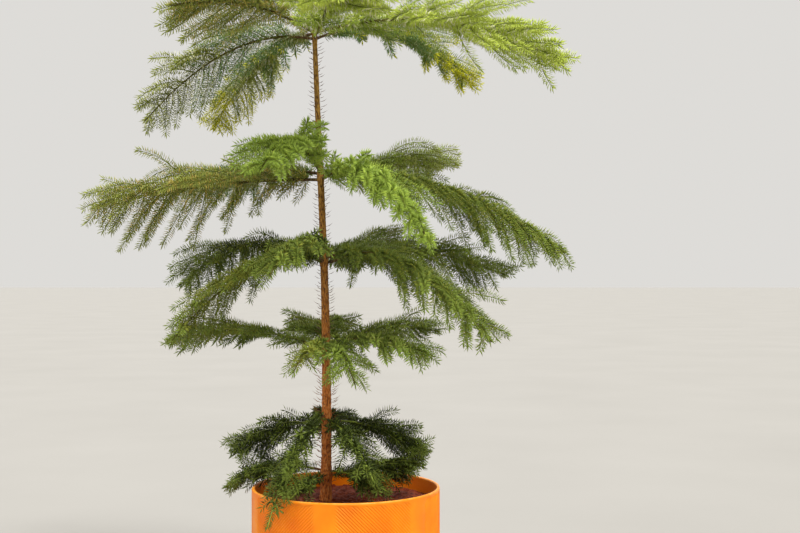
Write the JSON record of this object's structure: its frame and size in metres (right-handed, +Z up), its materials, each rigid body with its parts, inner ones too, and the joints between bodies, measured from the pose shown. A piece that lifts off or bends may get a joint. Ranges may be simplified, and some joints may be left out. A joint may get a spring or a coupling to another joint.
{
  "type": "potted norfolk island pine",
  "caption": "Young Norfolk Island pine with tiers of flat drooping needled sprays on a slim leaning trunk, standing in a straight-sided ribbed cover pot.",
  "frame": {"origin": "centre of the pot's flat underside", "axes": "+Z up along the pot's axis; +Y away from the viewer when the plant is seen from its front; +X to the viewer's right"},
  "size_m": [0.3984, 0.3307, 0.7323],
  "materials": {
    "pot": "satin",
    "soil": "matte",
    "bark": "matte",
    "foliage": "matte"
  },
  "bodies": {
    "root": {"leader": "foliage", "pot": "pot", "soil": "soil", "tier0_foliage_a": "foliage", "tier0_foliage_b": "foliage", "tier0_foliage_c": "foliage", "tier0_foliage_d": "foliage", "tier1_foliage_a": "foliage", "tier1_foliage_b": "foliage", "tier1_foliage_c": "foliage", "tier1_foliage_d": "foliage", "tier1_foliage_e": "foliage", "tier2_foliage_a": "foliage", "tier2_foliage_b": "foliage", "tier2_foliage_c": "foliage", "tier2_foliage_d": "foliage", "tier2_foliage_e": "foliage", "tier2_foliage_f": "foliage", "tier3_bough_a": "bark", "tier3_bough_b": "bark", "tier3_bough_c": "bark", "tier3_bough_d": "bark", "tier3_bough_e": "bark", "tier3_bough_f": "bark", "tier3_foliage_a": "foliage", "tier3_foliage_b": "foliage", "tier3_foliage_c": "foliage", "tier3_foliage_d": "foliage", "tier3_foliage_e": "foliage", "tier3_foliage_f": "foliage", "tier4_bough_a": "bark", "tier4_bough_b": "bark", "tier4_bough_c": "bark", "tier4_bough_d": "bark", "tier4_bough_e": "bark", "tier4_bough_f": "bark", "tier4_foliage_a": "foliage", "tier4_foliage_b": "foliage", "tier4_foliage_c": "foliage", "tier4_foliage_d": "foliage", "tier4_foliage_e": "foliage", "tier4_foliage_f": "foliage", "tier5_bough_a": "bark", "tier5_bough_b": "bark", "tier5_bough_c": "bark", "tier5_bough_d": "bark", "tier5_bough_e": "bark", "tier5_bough_f": "bark", "tier5_foliage_a": "foliage", "tier5_foliage_b": "foliage", "tier5_foliage_c": "foliage", "tier5_foliage_d": "foliage", "tier5_foliage_e": "foliage", "tier5_foliage_f": "foliage", "tier6_foliage_a": "foliage", "tier6_foliage_b": "foliage", "tier6_foliage_c": "foliage", "tier6_foliage_d": "foliage", "tier6_foliage_e": "foliage", "trunk": "bark"}
  },
  "joints": []
}
